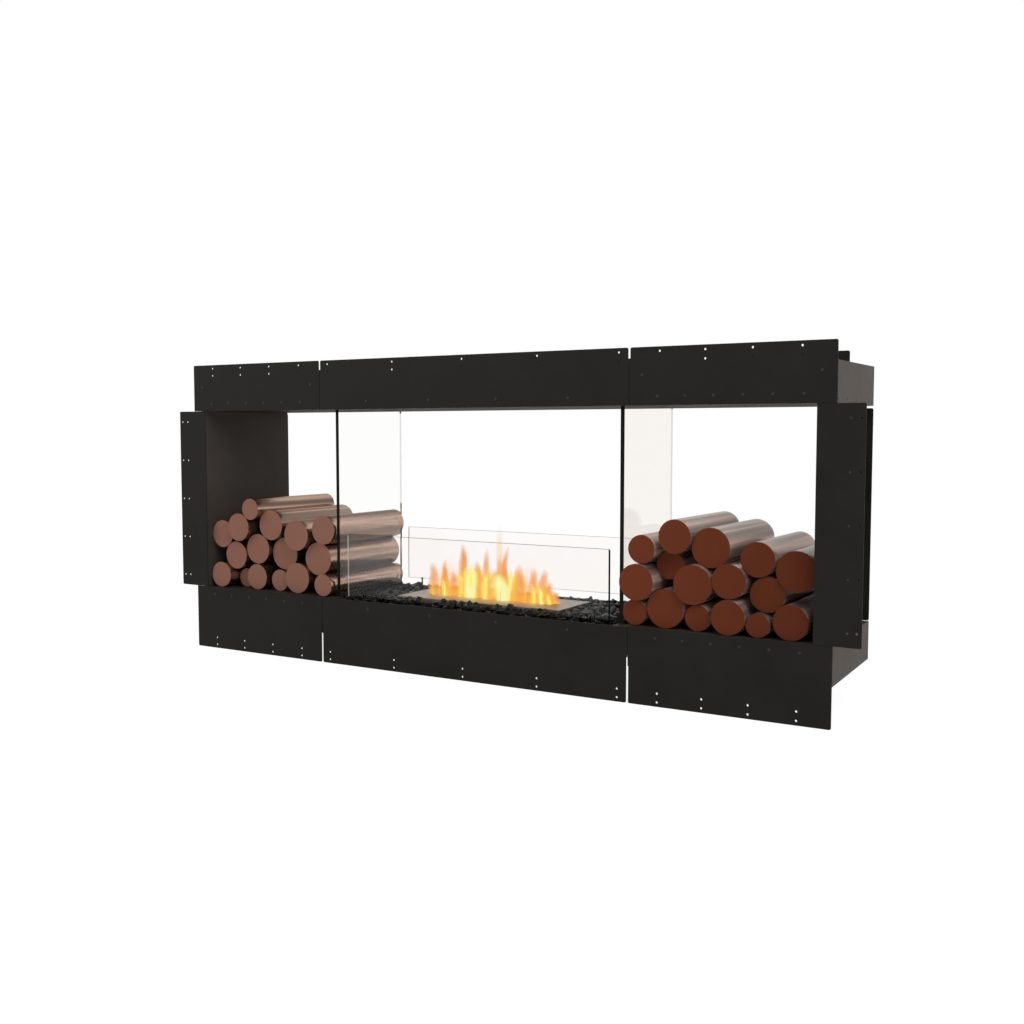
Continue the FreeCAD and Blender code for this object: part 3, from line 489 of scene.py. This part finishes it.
# Colours painted on the glass edges for the light and shade seen in them: painted shade on the dark
# edges, a painted highlight at the front screen's left end, and painted grey and light on the rear
# screen's edges and ends
EDGE_PAINTED_SHADE = (0.006, 0.006, 0.005)
EDGE_PAINTED_HIGHLIGHT = (0.42, 0.37, 0.33)
REAR_EDGE_PAINTED_SHADE = grey(0.08)
REAR_ENDS_PAINTED_LIGHT = grey(0.85)


def dress_frame():
    coat = coat_material("black_coat", COAT_BLACK, roughness=0.5, specular=0.08)
    cap = coat_material("cap_coat_painted_light", CAP_PAINTED_LIGHT, roughness=0.5, specular=0.12)
    wall_low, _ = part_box("end_wall_right")
    wall = coat_material("wall_coat_painted_light_and_shade", WALL_PAINTED_LIGHT, roughness=0.55, specular=0.12,
                         outside=(wall_low.x + 1 * MM, WALL_PAINTED_SHADE))
    inner = coat_material("inner_coat_painted_light", INNER_PAINTED_LIGHT, roughness=0.6, specular=0.06)
    for node in NODES:
        if "flange_" in node and "screws" not in node:
            dress(node, coat)
            soften(NODES[node], PLATE_ROUND)
        elif "end_cap_left" in node or "end_cap_right" in node:
            dress(node, cap)
        elif node.startswith("end_wall_"):
            dress(node, wall)
        elif node.startswith(("header_", "base_")) and node != "header_heat_board":
            dress(node, inner)
    for node in ("pane_channels", "screen_feet", "stone_shelf", "shelf_ledges"):
        dress(node, coat)
    soften(NODES["screen_feet"], FEET_ROUND)
    dress("module_bolts", coat_material("bolt_zinc", BOLT_ZINC, roughness=0.35, specular=0.5))
    dress("header_heat_board", board_material("heat_board", BOARD_CREAM, scale=240.0))


def dress_glass():
    screens = {
        "front": glass_material("front_screen_glass", SCREEN_TINT, SCREEN_IOR, "Y", "X",
                                EDGE_PAINTED_SHADE, EDGE_PAINTED_HIGHLIGHT, EDGE_PAINTED_SHADE, clear_ends=(0.5, 0.0)),
        "rear": glass_material("rear_screen_glass", SCREEN_TINT, SCREEN_IOR, "Y", "X",
                               REAR_EDGE_PAINTED_SHADE, REAR_ENDS_PAINTED_LIGHT, REAR_ENDS_PAINTED_LIGHT)}
    for side, tint in PANE_TINTS.items():
        dress(f"glass_pane_{side}",
              glass_material(f"{side}_pane_glass", tint, PANE_IOR, "X", "Y",
                             EDGE_PAINTED_SHADE, EDGE_PAINTED_SHADE, EDGE_PAINTED_SHADE, clear_ends=(0.0, 0.75)))
    for face, glass in screens.items():
        dress(f"{face}_fire_screen", glass)
        soften(NODES[f"{face}_fire_screen"], SCREEN_CHAMFERS[face], segments=1)


def dress_burner():
    steel = steel_material()
    for node in ("burner_top_plate", "fuel_tank", "burner_shutter", "shutter_rails"):
        dress(node, steel)
    soften(NODES["burner_top_plate"], LID_ROUND)
    soften(NODES["burner_shutter"], SHUTTER_ROUND)
    dress("wick_block", board_material("wick_ceramic", WICK_CREAM, scale=300.0))


# Screws and rivets

FASTENER_BLACK = (0.012, 0.0115, 0.011)
HEAD_SEGMENTS = 24
# A screw's outline as shares of a radius and of the height: the head, and the socket within it
HEAD_PROFILE = ((1.0, 0.0), (1.0, 0.35), (0.92, 0.72), (0.72, 0.95))
SOCKET_PROFILE = ((1.15, 1.0), (1.0, 0.96), (0.9, 0.35))
SOCKET_SHARE = 0.42
RIVET_STEPS = 7


def screw_head(radius, height):
    """A low domed head with a hexagon socket."""
    socket = radius * SOCKET_SHARE
    dome = [(radius * reach, height * rise) for reach, rise in HEAD_PROFILE]
    dome += [(socket * reach, height * rise) for reach, rise in SOCKET_PROFILE]
    points, faces, _ = lathe(dome, HEAD_SEGMENTS)
    hexed = []
    for x, y, z in points:
        reach = math.hypot(x, y)
        if 0 < reach <= socket * 1.01:
            turn = math.atan2(y, x) % (math.pi / 3) - math.pi / 6
            share = math.cos(math.pi / 6) / math.cos(turn)
            x, y = x * share, y * share
        hexed.append((x, y, z))
    return hexed, faces, None


def rivet_head(radius, height):
    angles = [step * math.pi / 2 / RIVET_STEPS for step in range(RIVET_STEPS)]
    dome = [(radius * math.cos(angle), height * math.sin(angle)) for angle in angles]
    return lathe(dome, HEAD_SEGMENTS)


def make_heads():
    dark = coat_material("fastener_black", FASTENER_BLACK, roughness=0.3, specular=0.25)
    quarter = math.pi / 2
    toward = {"front": Matrix.Rotation(quarter, 4, "X"), "rear": Matrix.Rotation(-quarter, 4, "X")}
    for face, turn in toward.items():
        node = f"{face}_flange_screws"
        plate_low, plate_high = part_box(f"{face}_top_flange_middle")
        seat = plate_low.y if face == "front" else plate_high.y
        builder = Builder()
        for low, high in solids(node):
            radius = (high.x - low.x) / 2
            height = seat - low.y if face == "front" else high.y - seat
            place = Vector(((low.x + high.x) / 2, seat, (low.z + high.z) / 2))
            builder.add(screw_head(radius, height), Matrix.Translation(place) @ turn)
        heads = builder.finish(f"{face}_screw_heads", [dark])
        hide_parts(node)
        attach(heads, "frame")
    builder = Builder()
    for low, high in solids("end_cap_rivets"):
        side = 1 if low.x > 0 else -1
        cap_low, cap_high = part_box("header_end_cap_right" if side > 0 else "header_end_cap_left")
        seat = cap_high.x if side > 0 else cap_low.x
        radius = (high.z - low.z) / 2
        height = abs((high.x if side > 0 else low.x) - seat)
        place = Vector((seat, (low.y + high.y) / 2, (low.z + high.z) / 2))
        turn = Matrix.Rotation(side * quarter, 4, "Y")
        builder.add(rivet_head(radius, height), Matrix.Translation(place) @ turn)
    rivets = builder.finish("rivet_heads", [dark])
    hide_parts("end_cap_rivets")
    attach(rivets, "frame")


# Logs

LOG_SEGMENTS = 72
LOG_RINGS = 16
ROUND_STEPS = 5
FRONT_ROUND = 0.6 * MM
REAR_ROUND = 4.5 * MM
END_RIM = 2 * MM
# Unevenness of a log's side: its depth, its noise round and along it, and the step to the next log
WOBBLE = 0.35 * MM
WOBBLE_ROUND = 1.3
WOBBLE_ALONG = 6
WOBBLE_STEP = 7.3
# How far the grain is shifted along from one log to the next
GRAIN_STEP = 0.17


def rounded_end(radius, rounding):
    """Points (radius, depth) from the flat of a log's end round its edge to its side."""
    points = [(radius - rounding - END_RIM, 0.0)]
    for step in range(ROUND_STEPS + 1):
        angle = step * math.pi / 2 / ROUND_STEPS
        points.append((radius - rounding * (1 - math.sin(angle)), rounding * (1 - math.cos(angle))))
    return points


def log_shape(radius, length, seed):
    """A log along Z, sawn sharp in front and rounded behind, and which faces are its ends."""
    first = rounded_end(radius, FRONT_ROUND)
    last = [(reach, length - depth) for reach, depth in reversed(rounded_end(radius, REAR_ROUND))]
    start, end = first[-1][1], last[0][1]
    middle = [(radius, start + (end - start) * step / LOG_RINGS) for step in range(1, LOG_RINGS)]
    points, faces, _ = lathe(first + middle + last, LOG_SEGMENTS)
    shaped, local = [], []
    for x, y, z in points:
        reach = math.hypot(x, y)
        if reach:
            sway = noise.noise(Vector((x / reach * WOBBLE_ROUND, y / reach * WOBBLE_ROUND,
                                       z * WOBBLE_ALONG + seed * WOBBLE_STEP)))
            share = (reach - WOBBLE * (1 - sway)) / reach
            x, y = x * share, y * share
        shaped.append((x, y, z))
        local.append((x, z + seed * GRAIN_STEP, y))
    slots = []
    for face in faces:
        heights = [points[index][2] for index in face]
        is_sawn = max(heights) < FRONT_ROUND * 1.01 or min(heights) > length - FRONT_ROUND * 0.01
        slots.append(1 if is_sawn else 0)
    return (shaped, faces, local), slots


def make_logs(side, bark, sawn):
    node = f"log_stack_{side}"
    builder = Builder()
    along = Matrix.Rotation(-math.pi / 2, 4, "X")
    for seed, (low, high) in enumerate(solids(node)):
        radius = (high.x - low.x) / 2
        place = Vector(((low.x + high.x) / 2, low.y, (low.z + high.z) / 2))
        shape, slots = log_shape(radius, high.y - low.y, seed)
        builder.add(shape, Matrix.Translation(place) @ along, slots)
    logs = builder.finish(f"logs_{side}", [bark, sawn], flat=(1,))
    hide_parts(node)
    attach(logs, "frame")


# Stone chips

CHIP_SEED = 11
CHIP_KINDS = 14
CHIP_CORNERS = 15
# A chip about one unit across: how far out its corners are, and how wide its edges are rounded
CHIP_REACH = (0.42, 0.52)
CHIP_BEVEL = 0.05
# Length of a chip in millimetres, and its width and height as shares of it
CHIP_SIZES = (13.0, 28.0)
CHIP_WIDE = (0.6, 0.95)
CHIP_TALL = (0.45, 0.8)
# Range of the turns in radians
CHIP_TURNS = (0, 6.3)
# Height of each layer's middle above the bed, in millimetres, and how many chips are tried in it
CHIP_LAYERS = ((-8.0, 700), (-3.0, 900), (1.0, 420))
# How far a chip is out of its layer, in millimetres
CHIP_STRAY = (-2, 2)
CHIP_GAP = 0.4 * MM
# In front of the burner the chips stay this far above its plate, but for a few that lean on it
FRONT_RISE = 0.5 * MM
LEANING_COUNT = 18
# Height of the leaning chips' layer and depth of their strip, in millimetres
LEANING_LIFT = 5.0
LEANING_WIDE = 34.0
# Chips are dull where a noise of this span is above a level, so more of them in front of the burner
DULL_SPAN = 15 * MM
DULL_IN_FRONT = -0.4
DULL_BEHIND = 0.3


def chip_shape(rng):
    """An angular pebble about one unit across."""
    mesh = bmesh.new()
    for _ in range(CHIP_CORNERS):
        direction = Vector((rng.gauss(0, 1), rng.gauss(0, 1), rng.gauss(0, 1))).normalized()
        mesh.verts.new(direction * rng.uniform(*CHIP_REACH))
    hull = bmesh.ops.convex_hull(mesh, input=mesh.verts)
    spare = [item for item in hull["geom_interior"] if isinstance(item, bmesh.types.BMVert)]
    bmesh.ops.delete(mesh, geom=spare, context="VERTS")
    bmesh.ops.bevel(mesh, geom=mesh.edges[:], offset=CHIP_BEVEL, segments=2, affect="EDGES",
                    profile=0.6)
    mesh.verts.index_update()
    shape = ([tuple(vertex.co) for vertex in mesh.verts],
             [[vertex.index for vertex in face.verts] for face in mesh.faces], None)
    mesh.free()
    return shape


class ChipBed:
    """Places chips where they clear the burner, the screens and the screens' feet."""

    def __init__(self, rng):
        self.rng = rng
        self.kinds = [chip_shape(rng) for _ in range(CHIP_KINDS)]
        self.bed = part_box("stone_bed")
        self.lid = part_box("burner_top_plate")
        self.blocked = [self.lid, *solids("screen_feet")]
        self.blocked += [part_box(node)
                         for node in ("fuel_tank", "front_fire_screen", "rear_fire_screen")]
        self.builder = Builder()

    def is_clear(self, low, high):
        for box_low, box_high in self.blocked:
            if all(low[axis] < box_high[axis] + CHIP_GAP and high[axis] > box_low[axis] - CHIP_GAP
                   for axis in range(3)):
                return False
        return True

    def scatter(self, count, x_span, y_span, lift, top=math.inf):
        """Try some chips: in front of the burner, those that rise above the top are let down to it."""
        rng = self.rng
        front = self.lid[0].y
        for _ in range(count):
            size = rng.uniform(*CHIP_SIZES) * MM
            half = size / 2
            x = rng.uniform(x_span[0] + half, x_span[1] - half)
            y = rng.uniform(y_span[0] + half, y_span[1] - half)
            z = self.bed[1].z + (lift + rng.uniform(*CHIP_STRAY)) * MM
            place = Vector((x, y, z))
            yaw, roll = (Matrix.Rotation(rng.uniform(*CHIP_TURNS), 4, axis) for axis in "ZX")
            turn = yaw @ roll
            wide, tall = rng.uniform(*CHIP_WIDE), rng.uniform(*CHIP_TALL)
            shape = Matrix.Diagonal((size, size * wide, size * tall, 1.0))
            kind = rng.choice(self.kinds)
            points = [turn @ shape @ Vector(point) for point in kind[0]]
            low = place + Vector(min(point[axis] for point in points) for axis in range(3))
            high = place + Vector(max(point[axis] for point in points) for axis in range(3))
            limit = top if y < front else math.inf
            down = Vector((0, 0, max(0.0, high.z - limit)))
            level = DULL_IN_FRONT if y < front + half else DULL_BEHIND
            is_dull = noise.noise(place / DULL_SPAN) > level
            if self.is_clear(low - down, high - down):
                self.builder.add(kind, Matrix.Translation(place - down) @ turn @ shape,
                                 [int(is_dull)] * len(kind[1]))


def make_chips():
    chips = ChipBed(random.Random(CHIP_SEED))
    low, high = chips.bed
    lid_low, lid_high = chips.lid
    for lift, count in CHIP_LAYERS:
        chips.scatter(count, (low.x, high.x), (low.y, high.y), lift, lid_high.z + FRONT_RISE)
    chips.scatter(LEANING_COUNT, (lid_low.x, lid_high.x), (lid_low.y - LEANING_WIDE * MM, lid_low.y),
                  LEANING_LIFT)
    item = chips.builder.finish("stone_chips", [stone_material("black_stone", specular=0.3),
                                                stone_material("dull_stone", specular=0.06)])
    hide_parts("stone_bed")
    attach(item, "frame")


# Flames: low curtains along the slot, tongues and a wisp above them, and bright cores

# Each tongue in millimetres: foot along X, tip along X and up, half width, place across the slot
TONGUES = (
    (-200, -205, 269, 20, -4), (-177, -172, 277, 13, 6), (-160, -163, 258, 15, -8),
    (-138, -142, 246, 18, 2), (-112, -115, 318, 19, 3), (-104, -104, 322, 13, -6),
    (-66, -70, 278, 17, 8), (-34, -33, 314, 15, -5), (-14, -10, 262, 16, 4), (3, 3, 300, 14, 0),
    (14, 14, 293, 11, 8), (20, 28, 323, 14, -7), (46, 62, 275, 23, 5), (80, 72, 254, 17, -3),
    (104, 106, 273, 17, -6), (132, 135, 270, 19, 2), (156, 150, 238, 16, -2), (171, 164, 216, 14, 3),
)
# A tall faint wisp, given as the tongues are
WISPS = ((2, 3, 376, 13, 0),)
# Cores stand on both sides of the tongues: foot, tip along X and up, half width, and heat
CORES = (
    (-81, -79, 270, 34, 0.86), (-81, -78, 248, 24, 0.98), (20, 6, 257, 35, 0.92),
    (26, 18, 240, 25, 1.2), (36, 50, 264, 11, 0.76), (-112, -110, 252, 13, 0.74),
    (-36, -28, 258, 14, 0.78), (112, 110, 234, 11, 0.8), (136, 132, 228, 11, 0.8),
    (-162, -164, 230, 10, 0.8), (160, 152, 214, 10, 0.76),
)
CORE_PLACE = 13
# Turns of the sheets about their upright axes, in degrees
TONGUE_TURNS = (0, 62, 121)
CORE_TURNS = (-14, 14)
# Heat at the foot, share of it lost at the tip, share of it left at the rim, and density
TONGUE_LIGHT = (0.58, 0.85, 0.6, 0.57)
WISP_LIGHT = (0.8, 0.42, 0.7, 0.22)
# As above without the heat, which each core has of its own
CORE_LIGHT = (0.12, 0.84, 0.92)
# First numbers of the noise that sways the cores and the wisps: the tongues' is 0
CORE_SEED = 40
WISP_SEED = 90
SHEET_COLUMNS = 10
SHEET_ROWS = 24
# Half width as a share of its greatest, from foot to tip
TONGUE_PROFILE = ((0.0, 0.95), (0.14, 1.06), (0.34, 0.98), (0.58, 0.82), (0.8, 0.7), (0.93, 0.6),
                  (1.0, 0.3))
CORE_PROFILE = ((0.0, 0.74), (0.2, 0.9), (0.48, 1.0), (0.72, 0.88), (0.9, 0.6), (1.0, 0.16))
WISP_PROFILE = ((0.0, 1.0), (0.6, 1.0), (0.9, 0.85), (1.0, 0.5))
# Sway of the tips along and across the slot, in millimetres, and of the width as a share
SWAY_ALONG = 8
SWAY_ACROSS = 6
SWAY_WIDTH = 0.25
# From this level up a tongue fades, by this share at its tip
FADE_FROM = 0.68
FADE_SHARE = 0.85
# Depth of a tongue across the slot as a share of its width, and how fast its density falls to its rim
TONGUE_DEPTH = 0.7
RIM_POWER = 0.75
# Curtains along the slot: height in millimetres, place across the slot, heat and density
CURTAINS = ((32, 5, 0.42, 0.45), (98, -6, 0.38, 0.5))
CURTAIN_ENDS = (-228, 182)
CURTAIN_COLUMNS = 160
CURTAIN_ROWS = 8
# One part in this many of a curtain's length is lower and cooler at each end
CURTAIN_TAPER = 9


def eased(share):
    return share * share * (3 - 2 * share)


def flame_width(profile, level):
    for (start, low), (end, high) in zip(profile, profile[1:]):
        if level <= end:
            return low + (high - low) * eased((level - start) / (end - start))
    return 0.0


def sheet_faces(columns, rows):
    across = columns + 1
    return [(row * across + column, row * across + column + 1,
             (row + 1) * across + column + 1, (row + 1) * across + column)
            for row in range(rows) for column in range(columns)]


def tongue(spec, profile, foot, turn, heat, cooling, rim, density, seed):
    """One soft-edged sheet of a swaying tongue, turned about its own upright axis."""
    foot_x, tip_x, tip_z, half, y = spec
    points, local = [], []
    for row in range(SHEET_ROWS + 1):
        level = row / SHEET_ROWS
        sway_x = noise.noise(Vector((seed * 3.1, level * 2.4, 0.0))) * SWAY_ALONG * level
        sway_y = noise.noise(Vector((seed * 5.7, level * 2.4, 4.0))) * SWAY_ACROSS * level
        wide = flame_width(profile, level) * half
        wide *= 1 + SWAY_WIDTH * noise.noise(Vector((seed * 2.3, level * 5.0, turn)))
        fade = 1 - eased(max(0.0, (level - FADE_FROM) / (1 - FADE_FROM))) * FADE_SHARE
        middle = foot_x + (tip_x - foot_x) * level + sway_x
        for column in range(SHEET_COLUMNS + 1):
            side = column / SHEET_COLUMNS * 2 - 1
            inner = 1 - side * side
            points.append(((middle + side * wide * math.cos(turn)) * MM,
                           (y + sway_y + side * wide * math.sin(turn) * TONGUE_DEPTH) * MM,
                           foot + (tip_z * MM - foot) * level))
            local.append((heat * (1 - cooling * level) * (rim + (1 - rim) * inner),
                          density * fade * inner ** RIM_POWER, level))
    return points, sheet_faces(SHEET_COLUMNS, SHEET_ROWS), local


def curtain(foot, tall, place, heat, density):
    """A low wavy sheet along the whole slot, with a ragged upper edge."""
    start, end = CURTAIN_ENDS
    points, local = [], []
    for row in range(CURTAIN_ROWS + 1):
        level = row / CURTAIN_ROWS
        for column in range(CURTAIN_COLUMNS + 1):
            share = column / CURTAIN_COLUMNS
            x = start + (end - start) * share
            ragged = 1 + 0.5 * noise.noise(Vector((x * 0.05, tall, 0.0)))
            taper = min(1.0, share * CURTAIN_TAPER, (1 - share) * CURTAIN_TAPER)
            y = place + 5 * noise.noise(Vector((x * 0.02, tall, level)))
            points.append((x * MM, y * MM,
                           foot + tall * ragged * (0.35 + 0.65 * taper) * level * MM))
            streak = noise.noise(Vector((x * 0.09, tall, level * 0.6)))
            thinning = 1 - eased(max(0.0, level - 0.3) / 0.7)
            local.append(((heat + 0.34 * streak) * (0.4 + 0.6 * taper),
                          density * thinning * eased(taper) * (1 + 0.25 * streak), level))
    return points, sheet_faces(CURTAIN_COLUMNS, CURTAIN_ROWS), local


def make_flames():
    """Flames over the burner's slot, carried with the burner."""
    low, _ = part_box("burner_top_plate")
    foot = low.z
    builder = Builder()
    for spec in CURTAINS:
        builder.add(curtain(foot, *spec))
    for turn in map(math.radians, TONGUE_TURNS):
        for seed, spec in enumerate(TONGUES):
            builder.add(tongue(spec, TONGUE_PROFILE, foot, turn, *TONGUE_LIGHT, seed))
        for seed, spec in enumerate(WISPS, start=WISP_SEED):
            builder.add(tongue(spec, WISP_PROFILE, foot, turn, *WISP_LIGHT, seed))
    for turn, place in zip(map(math.radians, CORE_TURNS), (-CORE_PLACE, CORE_PLACE)):
        for seed, (*spec, heat) in enumerate(CORES, start=CORE_SEED):
            builder.add(tongue((*spec, place), CORE_PROFILE, foot, turn, heat, *CORE_LIGHT, seed))
    flames = builder.finish("flames", [flame_material()])
    flames.visible_shadow = False
    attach(flames, "burner")
    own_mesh(flames)


# Stage: floor, light and camera

FLOOR_SIZE = 40
FLOOR_DROP = 0.5 * MM
FLOOR_WHITE = (0.82, 0.82, 0.82, 1)
# Where it is seen, the floor glows by itself in this share, the rest is lit
FLOOR_GLOW = 1.085
FLOOR_GLOW_SHARE = 0.86
# Strength of the white surroundings as a light: where they are seen it is 1
WORLD_LIGHT = 0.55
SENSOR_WIDTH = 36.0


def make_floor():
    graph = MaterialGraph("floor_white")
    glow = graph.node("Emission", {"Color": (1, 1, 1, 1), "Strength": FLOOR_GLOW})
    graph.set(Base_Color=FLOOR_WHITE, Roughness=0.9, Specular_IOR_Level=0.1)
    graph.show(graph.mix(graph.math("MULTIPLY", graph.seen(), FLOOR_GLOW_SHARE),
                         graph.shader.outputs["BSDF"], glow.outputs["Emission"]))
    bpy.ops.mesh.primitive_plane_add(size=FLOOR_SIZE, location=(0, 0, -FLOOR_DROP))
    floor = bpy.context.object
    floor.name = "floor"
    floor.data.materials.append(graph.material)


def make_world():
    world = bpy.data.worlds.new("studio")
    bpy.context.scene.world = world
    world.use_nodes = True
    graph = Graph(world.node_tree)
    graph.feed(graph.tree.nodes["Background"],
               {"Color": (1, 1, 1, 1), "Strength": graph.range(graph.seen(), WORLD_LIGHT, 1.0)})


def lamp(name, place, target, size, power):
    light = bpy.data.lights.new(name, "AREA")
    light.shape = "RECTANGLE"
    light.size, light.size_y = size
    light.energy = power
    item = bpy.data.objects.new(name, light)
    item.location = place
    item.rotation_euler = (Vector(target) - Vector(place)).to_track_quat("-Z", "Y").to_euler()
    bpy.context.scene.collection.objects.link(item)


def make_camera():
    data = bpy.data.cameras.new("camera")
    data.lens = CAMERA_LENS
    data.sensor_width = SENSOR_WIDTH
    item = bpy.data.objects.new("camera", data)
    item.location = CAMERA_PLACE
    item.rotation_euler = (math.pi / 2 + CAMERA_PITCH, 0.0, CAMERA_HEADING)
    bpy.context.scene.collection.objects.link(item)
    bpy.context.scene.camera = item


dress_frame()
dress_glass()
dress_burner()
make_heads()
# Both stacks hold one kind of log: the left ends are painted lighter and pinker and the right ends
# darker, for the light on each stack
make_logs("left", bark_material("bark_left", (0.33, 0.228, 0.182), metallic=0.95),
          end_material("sawn_left", (0.231, 0.111, 0.078), painted_wall_shade=1.0))
make_logs("right", bark_material("bark_right", (0.35, 0.26, 0.22), metallic=0.5),
          end_material("sawn_right", (0.132, 0.033, 0.015), painted_wall_shade=0.61))
make_chips()
make_flames()
make_floor()
make_world()
lamp("key", place=(2.6, -1.6, 2.6), target=(0.2, 0, 0.4), size=(2.0, 2.0), power=70)
lamp("fill", place=(-2.4, -2.6, 2.0), target=(0, 0, 0.4), size=(2.4, 2.4), power=35)
make_camera()
bpy.context.scene.view_settings.view_transform = "Standard"
